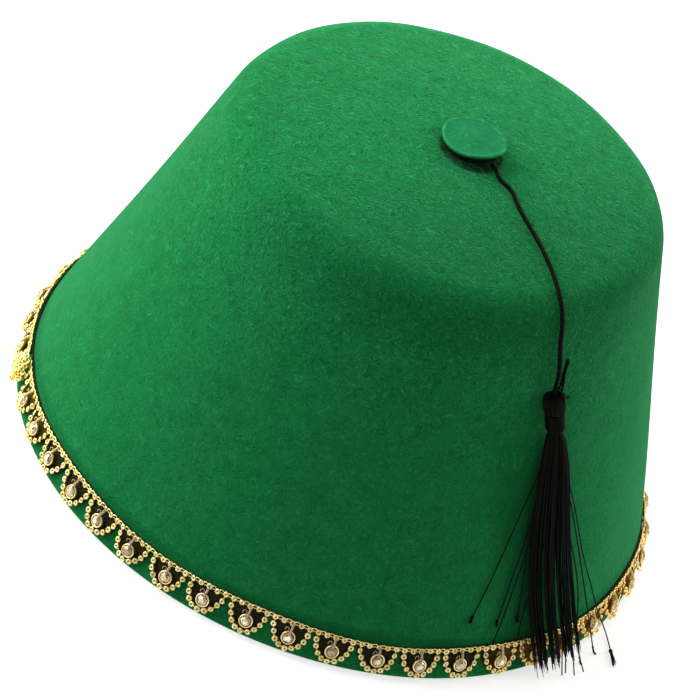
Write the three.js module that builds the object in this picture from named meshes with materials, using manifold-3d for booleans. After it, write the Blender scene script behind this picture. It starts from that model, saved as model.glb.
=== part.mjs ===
// Fez hat: a moulded felt crown on its rim, a felt button, a cord with a tassel, and a beaded trim.
// Millimetres, +Z up. The origin is the centre of the rim, on the surface that the hat stands on.
// Azimuths are degrees about +Z from +X. The front, where the tassel hangs, faces -Y.
import * as THREE from "three";
import { mergeGeometries, mergeVertices } from "three/addons/utils/BufferGeometryUtils.js";
import Module from "manifold-3d";

const wasm = await Module();
wasm.setup();

// Felt crown: the side is a straight cone, the top a shallow dome, and an arc rounds the shoulder between.
const RIM_RADIUS = 95;
const CORNER_RADIUS = 63.5; // where the side and the top would meet without the shoulder's arc
const CORNER_HEIGHT = 111.8;
const CROWN_HEIGHT = 117.8;
const SHOULDER_RADIUS = 11;
const FELT_THICKNESS = 2;
const CROWN_SEGMENTS = 48;
const GAP = 0.3; // left between pieces that touch

// Button: a padded felt disc, whose edge over the cord stands higher than the other.
const BUTTON_RADIUS = 9.6;
const BUTTON_THICKNESS = 3.0;
const BUTTON_PLACE = [3.4, 0];
const BUTTON_TILT = 3;
const BUTTON_RAISED_AZIMUTH = 0;

// Cord: azimuth, reach from the crown's centre along the felt, and height of its middle over the felt.
const CORD_DIAMETER = 1.4;
const CORD_STEP = 3;
const CORD_ROUTE = [
  [-22, 11.7, 1.0],
  [-27.6, 14.2, 1.0],
  [-33.0, 16.9, 1.0],
  [-32.7, 21.6, 1.0],
  [-36.2, 25.7, 1.0],
  [-40.2, 34.5, 1.0],
  [-41.9, 43.5, 1.0],
  [-44.1, 53.8, 1.0],
  [-45.6, 60.9, 1.0],
  [-45.8, 66.0, 1.0],
  [-45.3, 73.5, 1.1],
  [-44.7, 79.0, 1.5],
  [-45.1, 84.0, 2.6],
  [-45.8, 86.7, 3.3],
];

// Tassel: its middle line, then the skirt's half width along the felt and half thickness off it.
const TASSEL_ROUTE = [
  [-46.0, 87.2, 3.5],
  [-43.6, 99.6, 3.5],
  [-41.4, 116.2, 3.4],
  [-39.3, 136.5, 3.4],
  [-37.1, 153.0, 3.7],
  [-35.9, 165.0, 5.4],
  [-34.2, 175.0, 6.1],
];
const HEAD_LENGTH = 6.2;
const HEAD_RADIUS = 3.05;
const NECK_RADIUS = 1.9;
const NECK_LENGTH = 12.5; // from the top of the head to the end of the binding
const BINDING_LENGTH = 5.4;
const BINDING_THICKNESS = 0.5;
const LOCKS = 10;
const LOCK_ROWS = [
  // part of the way down, half width, half thickness, and the radius of each lock
  { way: 0.07, across: 0.9, off: 0.9, lock: 0.9 },
  { way: 0.138, across: 0.9, off: 0.9, lock: 0.9 },
  { way: 0.21, across: 2.7, off: 1.5, lock: 1.2 },
  { way: 0.38, across: 4.2, off: 1.7, lock: 1.3 },
  { way: 0.7, across: 5.1, off: 1.6, lock: 1.4 },
  { way: 0.96, across: 5.4, off: 1.4, lock: 1.2 },
];

// Trim: a band of beads with a row of scallops under it, each with a hanging stone in a cup.
const PITCH = 7.85; // degrees from one scallop to the next
const FIRST_STONE = -155.05; // azimuth of the first whole scallop
const STONES = 45;
const BAND_TOP = 10.6; // heights are measured up the felt from the rim
const BAND_BOTTOM = 8.6;
const SCALLOP_FOOT = 1.0;
const SCALLOP_BAR = 1.85; // width of the scallop's row of beads
const TRIM_BACK = 1.0; // these three are distances off the felt
const TRIM_FACE = 2.2;
const STONE_FACE = 3.0;
const CUP_RADIUS = 2.05;
const CUP_HEIGHT = 5.3;
const TABLE_RADIUS = 0.85;
const GIRDLE_RADIUS = 1.5;
const HANGER_WIDTH = 0.9;
const END_LIFT = 1.9; // the last end lies over the first one
const END_LIFT_REACH = 6; // degrees over which it rises
const SEWN_WAVE = 0.45; // the band is sewn on by eye, and strays this far up and down
const SEWN_WAVE_PITCH = 43; // degrees from one crest to the next, with a crest at the front

// Dark net behind the scallops.
const NET_BACK = 0.3;
const NET_FACE = 0.7;
const NET_TOP = 9.6;
const NET_FOOT = 1.7;
const NET_SIDE = 0.5; // drawn in from the scallop's outer edge

const FELT = { color: 0x12733a, roughness: 0.95, metalness: 0 };
const BLACK_SILK = { color: 0x0b0b0c, roughness: 0.5, metalness: 0 };
const GOLD = { color: 0xd3ab55, roughness: 0.35, metalness: 0.9 };
const DARK_NET = { color: 0x1c150d, roughness: 0.9, metalness: 0 };

const radians = THREE.MathUtils.degToRad;

// The crown's outline, from its two arcs and its line.
const rise = CROWN_HEIGHT - CORNER_HEIGHT;
const DOME_RADIUS = (CORNER_RADIUS ** 2 + rise ** 2) / (2 * rise);
const DOME_CENTRE = CROWN_HEIGHT - DOME_RADIUS;
const LEAN = Math.atan2(RIM_RADIUS - CORNER_RADIUS, CORNER_HEIGHT);
const SIDE_ANGLE = Math.PI / 2 - LEAN; // of the side's normal, from straight up
const sideNormal = new THREE.Vector2(Math.cos(LEAN), Math.sin(LEAN));
const sideUp = new THREE.Vector2(-Math.sin(LEAN), Math.cos(LEAN));
// The shoulder's arc touches the side and the dome: its centre is this far up a line beside the side.
const besideSide = new THREE.Vector2(RIM_RADIUS, 0).addScaledVector(sideNormal, -SHOULDER_RADIUS);
const fromDome = besideSide.clone().sub(new THREE.Vector2(0, DOME_CENTRE));
const along = fromDome.dot(sideUp);
const spare = fromDome.lengthSq() - (DOME_RADIUS - SHOULDER_RADIUS) ** 2;
const SHOULDER = besideSide.clone().addScaledVector(sideUp, -along + Math.sqrt(along ** 2 - spare));
const DOME_ANGLE = Math.atan2(SHOULDER.x, SHOULDER.y - DOME_CENTRE);
const DOME_REACH = DOME_RADIUS * DOME_ANGLE;
const SIDE_REACH = DOME_REACH + SHOULDER_RADIUS * (SIDE_ANGLE - DOME_ANGLE);
const sideTop = SHOULDER.clone().addScaledVector(sideNormal, SHOULDER_RADIUS);
const RIM_REACH = SIDE_REACH + sideTop.y / Math.sin(SIDE_ANGLE);

// A point of the outline: its radius and height, at a reach from the centre and a lift off the felt.
function outline(reach, lift) {
  let angle = SIDE_ANGLE;
  if (reach < DOME_REACH) angle = reach / DOME_RADIUS;
  else if (reach < SIDE_REACH) angle = DOME_ANGLE + (reach - DOME_REACH) / SHOULDER_RADIUS;
  const normal = new THREE.Vector2(Math.sin(angle), Math.cos(angle));
  const down = new THREE.Vector2(normal.y, -normal.x);
  if (reach < DOME_REACH) {
    return new THREE.Vector2(0, DOME_CENTRE).addScaledVector(normal, DOME_RADIUS + lift);
  }
  return SHOULDER.clone()
    .addScaledVector(normal, SHOULDER_RADIUS + lift)
    .addScaledVector(down, Math.max(reach - SIDE_REACH, 0));
}

function onFelt(azimuth, reach, lift) {
  const p = outline(reach, lift);
  return new THREE.Vector3(p.x * Math.cos(radians(azimuth)), p.x * Math.sin(radians(azimuth)), p.y);
}

function piece(name, geometry, finish) {
  const mesh = new THREE.Mesh(geometry, new THREE.MeshStandardMaterial(finish));
  mesh.name = name;
  return mesh;
}

// Only the positions, with shared corners merged.
function bare(geometry) {
  const plain = geometry.index ? geometry.toNonIndexed() : geometry.clone();
  for (const name of Object.keys(plain.attributes)) {
    if (name !== "position") plain.deleteAttribute(name);
  }
  return mergeVertices(plain, 1e-3);
}

function toSolid(geometry) {
  const merged = bare(geometry);
  const vertProperties = new Float32Array(merged.attributes.position.array);
  const triVerts = new Uint32Array(merged.index.array);
  return new wasm.Manifold(new wasm.Mesh({ numProp: 3, vertProperties, triVerts }));
}

function toGeometry(solid) {
  const { vertProperties, triVerts } = solid.getMesh();
  const made = new THREE.BufferGeometry();
  made.setAttribute("position", new THREE.BufferAttribute(new Float32Array(vertProperties), 3));
  made.setIndex(new THREE.BufferAttribute(new Uint32Array(triVerts), 1));
  made.computeVertexNormals();
  return made;
}

function joined(geometries) {
  return toGeometry(geometries.map(toSolid).reduce((all, one) => all.add(one)));
}

// A profile of radius and height turned about +Z.
function turned(points, segments) {
  return new THREE.LatheGeometry(points, segments).rotateX(Math.PI / 2);
}

function moveEach(geometry, place) {
  const position = geometry.attributes.position;
  const at = new THREE.Vector3();
  for (let i = 0; i < position.count; i++) {
    at.fromBufferAttribute(position, i);
    const to = place(at);
    position.setXYZ(i, to.x, to.y, to.z);
  }
  return geometry;
}

// Reaches down the crown: the dome and the shoulder in so many parts each, then the straight side.
function reaches(domeParts, shoulderParts, rim) {
  const made = [];
  for (let i = 0; i < domeParts; i++) made.push((DOME_REACH * i) / domeParts);
  for (let i = 0; i <= shoulderParts; i++) {
    made.push(THREE.MathUtils.lerp(DOME_REACH, SIDE_REACH, i / shoulderParts));
  }
  return [...made, rim];
}

// Felt crown: outside from the rim up to the axis, then the inside back down.
function feltCrown() {
  const outside = reaches(2, 4, RIM_REACH);
  const inside = reaches(2, 3, RIM_REACH - FELT_THICKNESS / Math.tan(SIDE_ANGLE));
  const up = outside.reverse().map((reach) => outline(reach, 0));
  const down = inside.map((reach) => outline(reach, -FELT_THICKNESS));
  up[0].y = 0;
  down[down.length - 1].y = 0;
  return piece("felt_crown", turned([...up, ...down, up[0].clone()], CROWN_SEGMENTS), FELT);
}

function button() {
  const edge = BUTTON_RADIUS;
  const height = BUTTON_THICKNESS;
  const points = [
    [0, 0],
    [edge - 1.9, 0],
    [edge - 1.5, 1.2],
    [edge, height - 0.9],
    [edge, height - 0.4],
    [edge - 0.5, height],
    [edge - 3.5, height + 0.1],
    [0, height + 0.3],
  ].map(([r, z]) => new THREE.Vector2(r, z));
  const mesh = piece("crown_button", turned(points, 20), FELT);
  const [x, y] = BUTTON_PLACE;
  const top = outline(Math.hypot(x, y), 0).y;
  mesh.position.set(x, y, top + GAP + edge * Math.sin(radians(BUTTON_TILT)));
  const raised = radians(BUTTON_RAISED_AZIMUTH);
  const hinge = new THREE.Vector3(Math.sin(raised), -Math.cos(raised), 0);
  mesh.quaternion.setFromAxisAngle(hinge, radians(BUTTON_TILT));
  return mesh;
}

function routeCurve(route) {
  return new THREE.CatmullRomCurve3(route.map((row) => onFelt(...row)));
}

function cord() {
  const path = routeCurve(CORD_ROUTE);
  const section = new THREE.Shape().absarc(0, 0, CORD_DIAMETER / 2, 0, 2 * Math.PI);
  const steps = Math.round(path.getLength() / CORD_STEP);
  const tube = new THREE.ExtrudeGeometry(section, { steps, extrudePath: path, curveSegments: 4 });
  return piece("tassel_cord", tube, BLACK_SILK);
}

// The tassel's frame part of the way down its middle line: along it, across it, and off the felt.
function tasselFrame(way) {
  const path = routeCurve(TASSEL_ROUTE);
  const middle = path.getPointAt(way);
  const down = path.getTangentAt(way);
  const azimuth = Math.atan2(middle.y, middle.x);
  const normal = new THREE.Vector3(Math.cos(azimuth), Math.sin(azimuth), Math.tan(LEAN)).normalize();
  const across = normal.clone().cross(down).normalize();
  return { middle, down, across, off: down.clone().cross(across) };
}

function lock(index) {
  const turn = (2 * Math.PI * index) / LOCKS;
  const uneven = 1 + 0.018 * Math.sin(2.3 * index);
  const rows = LOCK_ROWS.length - 1;
  const straight = new THREE.CylinderGeometry(1, 1, rows, 5, rows).rotateX(-Math.PI / 2);
  return moveEach(straight.translate(0, 0, rows / 2), (at) => {
    const row = LOCK_ROWS[Math.round(at.z)];
    const { middle, across, off } = tasselFrame(Math.min(row.way * uneven, 1));
    return middle
      .addScaledVector(across, row.across * Math.cos(turn) + row.lock * at.x)
      .addScaledVector(off, row.off * Math.sin(turn) + row.lock * at.y);
  });
}

// A turned profile laid along the tassel's neck, with its height measured down from the top of the head.
function onNeck(points, segments) {
  const { middle, down, across, off } = tasselFrame(0);
  const frame = new THREE.Matrix4().makeBasis(across, off, down).setPosition(middle);
  return turned(points, segments).applyMatrix4(frame);
}

function tasselHead() {
  const points = [
    [0, 0],
    [0.62 * HEAD_RADIUS, 0.2],
    [0.95 * HEAD_RADIUS, 1.4],
    [HEAD_RADIUS, 3.2],
    [0.9 * HEAD_RADIUS, 5.4],
    [NECK_RADIUS, HEAD_LENGTH],
    [NECK_RADIUS, NECK_LENGTH],
    [0, NECK_LENGTH],
  ].map(([r, z]) => new THREE.Vector2(r, z));
  return onNeck(points, 10);
}

function tassel() {
  const locks = Array.from({ length: LOCKS }, (_, index) => lock(index));
  return piece("tassel", joined([tasselHead(), ...locks]), BLACK_SILK);
}

function binding() {
  const inner = NECK_RADIUS + GAP;
  const outer = inner + BINDING_THICKNESS;
  const top = HEAD_LENGTH + GAP;
  const bottom = top + BINDING_LENGTH;
  const points = [
    [inner, top],
    [outer, top],
    [outer, bottom],
    [inner, bottom],
    [inner, top],
  ].map(([r, z]) => new THREE.Vector2(r, z));
  return piece("tassel_binding", onNeck(points, 12), BLACK_SILK);
}

// Half the width of one scallop's place in the strip, measured round the rim.
const HALF = (radians(PITCH) / 2) * RIM_RADIUS;

// Points of a scallop's lower half, an ellipse hanging from the band, from its left end to its right.
function scallopArc(halfWidth, foot, parts, from = Math.PI, to = 2 * Math.PI) {
  return Array.from({ length: parts + 1 }, (_, i) => {
    const turn = from + ((to - from) * i) / parts;
    const height = BAND_BOTTOM + (BAND_BOTTOM - foot) * Math.sin(turn);
    return new THREE.Vector2(halfWidth * Math.cos(turn), height);
  });
}

function bandOver(points, left, right, top) {
  const shape = new THREE.Shape();
  shape.moveTo(left, BAND_BOTTOM);
  for (const p of points) shape.lineTo(p.x, p.y);
  if (right > points[points.length - 1].x) shape.lineTo(right, BAND_BOTTOM);
  shape.lineTo(right, top);
  if (left < 0 && right > 0) shape.lineTo(0, top);
  shape.lineTo(left, top);
  return shape;
}

function plate(shape, back, face) {
  const flat = new THREE.ExtrudeGeometry(shape, { depth: face - back, bevelEnabled: false });
  return flat.translate(0, 0, back);
}

// One whole scallop: a plate cut through round the hanger, and the cup with its faceted stone.
function wholeScallop() {
  const shape = bandOver(scallopArc(HALF - 0.15, SCALLOP_FOOT, 6), -HALF, HALF, BAND_TOP);
  const hole = scallopArc(HALF - SCALLOP_BAR, SCALLOP_FOOT + SCALLOP_BAR, 5);
  const hanger = HANGER_WIDTH / 2;
  const hangerFoot = CUP_HEIGHT + 0.7 * CUP_RADIUS;
  hole.push(new THREE.Vector2(hanger, BAND_BOTTOM), new THREE.Vector2(hanger, hangerFoot));
  hole.push(new THREE.Vector2(-hanger, hangerFoot), new THREE.Vector2(-hanger, BAND_BOTTOM));
  shape.holes.push(new THREE.Path(hole));
  const cup = [
    [0, TRIM_BACK + 0.1],
    [CUP_RADIUS, TRIM_FACE - 0.3],
    [GIRDLE_RADIUS, TRIM_FACE + 0.1],
    [TABLE_RADIUS, STONE_FACE],
    [0, STONE_FACE],
  ].map(([r, z]) => new THREE.Vector2(r, z));
  const stone = turned(cup, 8).translate(0, CUP_HEIGHT, 0);
  return joined([plate(shape, TRIM_BACK, TRIM_FACE), stone]);
}

// The strip's two cut ends: the right half of a scallop at its start, the left half at its finish.
function halfScallop(side) {
  const [from, to] = side > 0 ? [1.5 * Math.PI, 2 * Math.PI] : [Math.PI, 1.5 * Math.PI];
  const outer = scallopArc(HALF - 0.15, SCALLOP_FOOT, 4, from, to);
  const inner = scallopArc(HALF - SCALLOP_BAR, SCALLOP_FOOT + SCALLOP_BAR, 3, from, to).reverse();
  const corner = (x, y) => new THREE.Vector2(x, y);
  const joint = [corner(side * HALF, BAND_BOTTOM), corner(side * HALF, BAND_TOP)];
  const cut = [corner(0, BAND_TOP), corner(0, BAND_BOTTOM)];
  const right = [...outer, ...joint, ...cut, ...inner];
  const left = [joint[0], ...outer, ...inner, cut[1], cut[0], joint[1]];
  return plate(new THREE.Shape(side > 0 ? right : left), TRIM_BACK, TRIM_FACE);
}

// Drops the faces that a plate shares with its neighbour, at one end or both.
function openAt(geometry, ends) {
  const merged = bare(geometry).toNonIndexed();
  const from = merged.attributes.position;
  const kept = [];
  for (let i = 0; i < from.count; i += 3) {
    const atEnd = (end) => [i, i + 1, i + 2].every((k) => Math.abs(from.getX(k) - end) < 1e-4);
    if (ends.some(atEnd)) continue;
    for (let k = i; k < i + 3; k++) kept.push(from.getX(k), from.getY(k), from.getZ(k));
  }
  return new THREE.BufferGeometry().setAttribute("position", new THREE.Float32BufferAttribute(kept, 3));
}

// How far the strip strays up at an azimuth: all of the wave at the band, and less towards the rim.
function sewnStray(azimuth, height) {
  const crest = Math.cos((2 * Math.PI * (azimuth + 90)) / SEWN_WAVE_PITCH);
  return (SEWN_WAVE * crest * height) / BAND_TOP;
}

// Bends a flat plate round the felt: its x runs round the rim, its y up the felt and its z off it.
function bendRound(geometry, azimuth, lift = () => 0) {
  return moveEach(geometry, (at) => {
    const there = azimuth + THREE.MathUtils.radToDeg(at.x / RIM_RADIUS);
    return onFelt(there, RIM_REACH - at.y - sewnStray(there, at.y), at.z + lift(there));
  });
}

// The first half scallop, all the whole ones, and the last half one, which rises over the first.
function trim() {
  const last = FIRST_STONE + STONES * PITCH;
  const lift = (azimuth) => {
    return END_LIFT * THREE.MathUtils.smoothstep(azimuth, last - END_LIFT_REACH, last - 1);
  };
  const whole = openAt(wholeScallop(), [-HALF, HALF]);
  const parts = [bendRound(openAt(halfScallop(1), [HALF]), FIRST_STONE - PITCH)];
  for (let i = 0; i < STONES; i++) parts.push(bendRound(whole.clone(), FIRST_STONE + i * PITCH, lift));
  parts.push(bendRound(openAt(halfScallop(-1), [-HALF]), last, lift));
  return piece("gold_trim", mergeVertices(mergeGeometries(parts), 1e-3), GOLD);
}

function net() {
  const shape = bandOver(scallopArc(HALF - NET_SIDE, NET_FOOT, 4), -HALF, HALF, NET_TOP);
  const whole = plate(shape, NET_BACK, NET_FACE);
  const parts = [];
  for (let i = 0; i < STONES; i++) {
    const ends = [i > 0 ? -HALF : null, i < STONES - 1 ? HALF : null].filter((end) => end !== null);
    parts.push(bendRound(openAt(whole, ends), FIRST_STONE + i * PITCH));
  }
  return piece("trim_net", mergeVertices(mergeGeometries(parts), 1e-3), DARK_NET);
}

const hat = new THREE.Group();
hat.add(feltCrown(), button(), cord(), tassel(), binding(), trim(), net());
export default hat;
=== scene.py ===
import math
import bpy
import numpy as np
from mathutils import Matrix, Vector


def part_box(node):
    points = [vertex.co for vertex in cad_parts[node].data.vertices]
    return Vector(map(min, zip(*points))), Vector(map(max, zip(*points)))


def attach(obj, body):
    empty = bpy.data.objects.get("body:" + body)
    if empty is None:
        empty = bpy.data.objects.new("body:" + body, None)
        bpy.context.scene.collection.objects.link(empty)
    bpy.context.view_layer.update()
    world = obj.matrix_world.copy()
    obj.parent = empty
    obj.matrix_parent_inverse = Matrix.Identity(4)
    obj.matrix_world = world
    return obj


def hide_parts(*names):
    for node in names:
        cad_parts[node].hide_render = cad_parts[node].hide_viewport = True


# Fez hat: green felt crown and button, black cord and tassel, gold beaded trim with stones.
# Shapes are worked out in millimetres and go into the meshes in metres.
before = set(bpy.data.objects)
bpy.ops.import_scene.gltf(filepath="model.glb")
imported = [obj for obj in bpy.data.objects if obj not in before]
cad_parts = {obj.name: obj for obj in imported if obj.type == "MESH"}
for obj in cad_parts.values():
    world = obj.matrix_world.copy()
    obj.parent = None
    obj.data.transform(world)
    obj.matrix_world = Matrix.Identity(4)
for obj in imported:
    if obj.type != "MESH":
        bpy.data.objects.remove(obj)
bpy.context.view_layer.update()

MM = 0.001
rng = np.random.default_rng(1880)

# Driving dimensions, the CAD model's own.
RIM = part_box("felt_crown")[1][0] / MM
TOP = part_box("felt_crown")[1][2] / MM
CORNER_RADIUS = 63.5
CORNER_HEIGHT = TOP - 6.0
SHOULDER = 11.0
FELT = 2.0
CORD = 1.4
PITCH = 7.85
FIRST_STONE = -155.05
STONES = 45
BUTTON_RADIUS = 9.6
BUTTON_PLACE = (3.4, 0.0)
BUTTON_TILT = math.radians(3)
BUTTON_RAISED = 0.0
BUTTON_GAP = 0.3

# The outline's arcs and its straight side.
DOME = (CORNER_RADIUS**2 + (TOP - CORNER_HEIGHT) ** 2) / (2 * (TOP - CORNER_HEIGHT))
DOME_CENTRE = TOP - DOME
LEAN = math.atan2(RIM - CORNER_RADIUS, CORNER_HEIGHT)
SIDE_ANGLE = math.pi / 2 - LEAN


def shoulder_centre():
    """Centre of the shoulder's arc: SHOULDER in from the side, and DOME - SHOULDER from the dome's centre."""
    out = np.array([math.cos(LEAN), math.sin(LEAN)])
    up = np.array([-math.sin(LEAN), math.cos(LEAN)])
    beside = np.array([RIM, -DOME_CENTRE]) - SHOULDER * out
    along = beside @ up
    spare = beside @ beside - (DOME - SHOULDER) ** 2
    return beside + (math.sqrt(along**2 - spare) - along) * up + np.array([0, DOME_CENTRE])


ARC_X, ARC_Z = shoulder_centre()
DOME_ANGLE = math.atan2(ARC_X, ARC_Z - DOME_CENTRE)
DOME_REACH = DOME * DOME_ANGLE
SIDE_REACH = DOME_REACH + SHOULDER * (SIDE_ANGLE - DOME_ANGLE)
RIM_REACH = SIDE_REACH + (ARC_Z + SHOULDER * math.sin(LEAN)) / math.cos(LEAN)


def outline(reach, lift):
    """Radius and height at a reach from the crown's centre: dome, shoulder and side, moved off by lift."""
    reach, lift = np.asarray(reach, float), np.asarray(lift, float)
    bend = np.where(reach < DOME_REACH, reach / DOME, DOME_ANGLE + (reach - DOME_REACH) / SHOULDER)
    bend = np.minimum(bend, SIDE_ANGLE)
    on_dome = reach < DOME_REACH
    radius = np.where(on_dome, DOME * np.sin(bend), ARC_X + SHOULDER * np.sin(bend))
    height = np.where(on_dome, DOME_CENTRE + DOME * np.cos(bend), ARC_Z + SHOULDER * np.cos(bend))
    down = np.maximum(reach - SIDE_REACH, 0)
    radius = radius + down * np.cos(bend) + lift * np.sin(bend)
    height = height - down * np.sin(bend) + lift * np.cos(bend)
    return radius, height


def places(x, y, z):
    """Points from their coordinates, each stretched to the others' shape."""
    return np.stack(np.broadcast_arrays(x, y, z), -1)


def round_z(radius, turn, height):
    """Points at a radius from z, an angle round it in radians, and a height."""
    return places(radius * np.cos(turn), radius * np.sin(turn), height)


def round_turn(count):
    return np.linspace(0, 2 * math.pi, count, endpoint=False)


def on_felt(azimuth, reach, lift):
    """The outline's point turned round +Z to the azimuth, in degrees."""
    radius, height = outline(reach, lift)
    return round_z(radius, np.radians(azimuth), height)


def side_normal(points):
    """Direction off the straight side at each point: outwards by its azimuth, and up by the side's lean."""
    return round_z(math.cos(LEAN), np.arctan2(points[..., 1], points[..., 0]), math.sin(LEAN))


def unit(vectors):
    return vectors / np.linalg.norm(vectors, axis=-1, keepdims=True)


def gone_along(line):
    """Distance from the line's start to each of its points."""
    return np.r_[0, np.cumsum(np.linalg.norm(np.diff(line, axis=0), axis=1))]


def read_off(line, gone, stops):
    """A line's points at each stop, where gone says how far along each of them stands."""
    return np.stack([np.interp(stops, gone, line[:, axis]) for axis in range(3)], -1)


def evenly(line, count):
    """Points at equal distances along a line of many points."""
    gone = gone_along(line)
    return read_off(line, gone, np.linspace(0, gone[-1], count))


def smooth_line(points, count):
    """Evenly spaced points on the natural cubic through the given ones, over the distance between them."""
    points = np.asarray(points, float)
    knots = gone_along(points)
    gap = np.diff(knots)
    slope = np.diff(points, axis=0) / gap[:, None]
    inner = np.arange(1, len(points) - 1)
    system = np.eye(len(points))
    system[inner, inner - 1] = gap[inner - 1]
    system[inner, inner] = 2 * (gap[inner - 1] + gap[inner])
    system[inner, inner + 1] = gap[inner]
    turning = np.zeros_like(points)
    turning[inner] = 6 * (slope[inner] - slope[inner - 1])
    turning = np.linalg.solve(system, turning)

    fine = np.linspace(0, knots[-1], 40 * len(points))
    at = np.clip(np.searchsorted(knots, fine, side="right") - 1, 0, len(gap) - 1)
    wide = gap[at][:, None]
    right = (fine - knots[at])[:, None]
    left = wide - right
    line = (turning[at] * left**3 + turning[at + 1] * right**3) / (6 * wide)
    line += (points[at] / wide - turning[at] * wide / 6) * left
    line += (points[at + 1] / wide - turning[at + 1] * wide / 6) * right
    return evenly(line, count)


def kept_up(lines, height):
    """The lines, with no point lower than the height."""
    lines[..., 2] = np.maximum(lines[..., 2], height)
    return lines


class Form:
    """Points, faces of four and of three corners, and a shade from 0 to 1 for each point."""

    def __init__(self, points, quads, tris=None, shade=None):
        self.points = points
        self.quads = quads
        self.tris = np.zeros((0, 3), int) if tris is None else tris
        self.shade = np.full(len(points), 0.5) if shade is None else shade

    def __add__(self, other):
        shift = len(self.points)
        faces = (self.quads, other.quads + shift), (self.tris, other.tris + shift)
        pairs = (self.points, other.points), *faces, (self.shade, other.shade)
        return Form(*(np.concatenate(pair) for pair in pairs))

    def copies(self, origins, axes, shades=None):
        """A copy at each origin, whose x, y and z lie along the three axes given there."""
        count, size = len(origins), len(self.points)
        points = origins[:, None, :] + np.einsum("pc,ncd->npd", self.points, axes)
        shift = (np.arange(count) * size)[:, None, None]
        shade = np.tile(self.shade, count) if shades is None else np.repeat(shades, size)
        quads = (self.quads[None] + shift).reshape(-1, 4)
        tris = (self.tris[None] + shift).reshape(-1, 3)
        return Form(points.reshape(-1, 3), quads, tris, shade)


def skin(rings, looped=False, shades=None):
    """Faces between rows of closed rings. A fan closes each end, or the last row joins the first."""
    rows, sides = rings.shape[-3:-1]
    rings = rings.reshape(-1, rows, sides, 3)
    count = len(rings)
    index = np.arange(count * rows * sides).reshape(count, rows, sides)
    joined = np.concatenate([index, index[:, :1]], axis=1) if looped else index
    here, there = joined[:, :-1], joined[:, 1:]
    quads = np.stack([here, np.roll(here, -1, 2), np.roll(there, -1, 2), there], -1).reshape(-1, 4)
    shades = np.full(count, 0.5) if shades is None else shades
    points, shade = rings.reshape(-1, 3), np.repeat(shades, rows * sides)
    if looped:
        return Form(points, quads, None, shade)
    middle = len(points) + np.arange(2 * count).reshape(2, count, 1) + np.zeros(sides, int)
    first, last = index[:, 0], index[:, -1]
    opening = np.stack([middle[0], np.roll(first, -1, 1), first], -1).reshape(-1, 3)
    closing = np.stack([middle[1], last, np.roll(last, -1, 1)], -1).reshape(-1, 3)
    points = np.concatenate([points, rings[:, 0].mean(1), rings[:, -1].mean(1)])
    return Form(points, quads, np.concatenate([opening, closing]), np.r_[shade, shades, shades])


def square_to(line, facing):
    """Axes square to a line at each point: facing, made square to it, and the one square to both."""
    along = unit(np.gradient(line, axis=-2))
    first = unit(facing - (facing * along).sum(-1, keepdims=True) * along)
    return first, np.cross(along, first)


def tube(lines, radius, sides, facing, shades=None):
    """Circles carried along each line, square to it, from the side that is nearest to facing."""
    first, second = square_to(lines, facing)
    turn = round_turn(sides)[:, None]
    size = np.broadcast_to(radius, lines.shape[:-1])[..., None, None]
    around = np.cos(turn) * first[..., None, :] + np.sin(turn) * second[..., None, :]
    return skin(lines[..., None, :] + size * around, shades=shades)


# A ply's radius as a part of its cord's, with two plies and with three.
PLY_PART = {2: 0.56, 3: 0.53}


def twisted(line, radius, plies, pitch, sides, facing, shades=None):
    """Plies of a twisted cord: each runs round the line at a fixed distance, turning once in each pitch."""
    first, second = square_to(line, facing)
    turn = 2 * math.pi * (gone_along(line) / pitch + np.arange(plies)[:, None] / plies)
    ply = radius * PLY_PART[plies]
    out = radius - ply
    paths = line + out * (np.cos(turn)[..., None] * first + np.sin(turn)[..., None] * second)
    return tube(paths, ply, sides, np.broadcast_to(facing, paths.shape), shades)


def turned(profile, sides):
    """A profile of radius and height, from its low end to its high one on the outside, turned round z."""
    profile = np.asarray(profile, float)
    return skin(round_z(profile[:, :1], round_turn(sides), profile[:, 1:]))


def ring_bead():
    """A torus: a circle of the minor radius carried round z at the major radius."""
    tip = round_turn(6)
    rings = round_z(BEAD_MAJOR + BEAD_MINOR * np.cos(tip), round_turn(12)[:, None], BEAD_MINOR * np.sin(tip))
    return skin(rings[:, ::-1], looped=True)


def tilts(count, x, y, z=0.0):
    """Random small turns about x, y and z, each with the given spread in radians."""
    a, b, c = (rng.normal(0, spread, count) for spread in (x, y, z))
    one, nil = np.ones(count), np.zeros(count)
    about_x = np.array([[one, nil, nil], [nil, np.cos(a), np.sin(a)], [nil, -np.sin(a), np.cos(a)]])
    about_y = np.array([[np.cos(b), nil, -np.sin(b)], [nil, one, nil], [np.sin(b), nil, np.cos(b)]])
    about_z = np.array([[np.cos(c), np.sin(c), nil], [-np.sin(c), np.cos(c), nil], [nil, nil, one]])
    return np.einsum("ijn,jkn,kln->nil", about_z, about_y, about_x)


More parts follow.
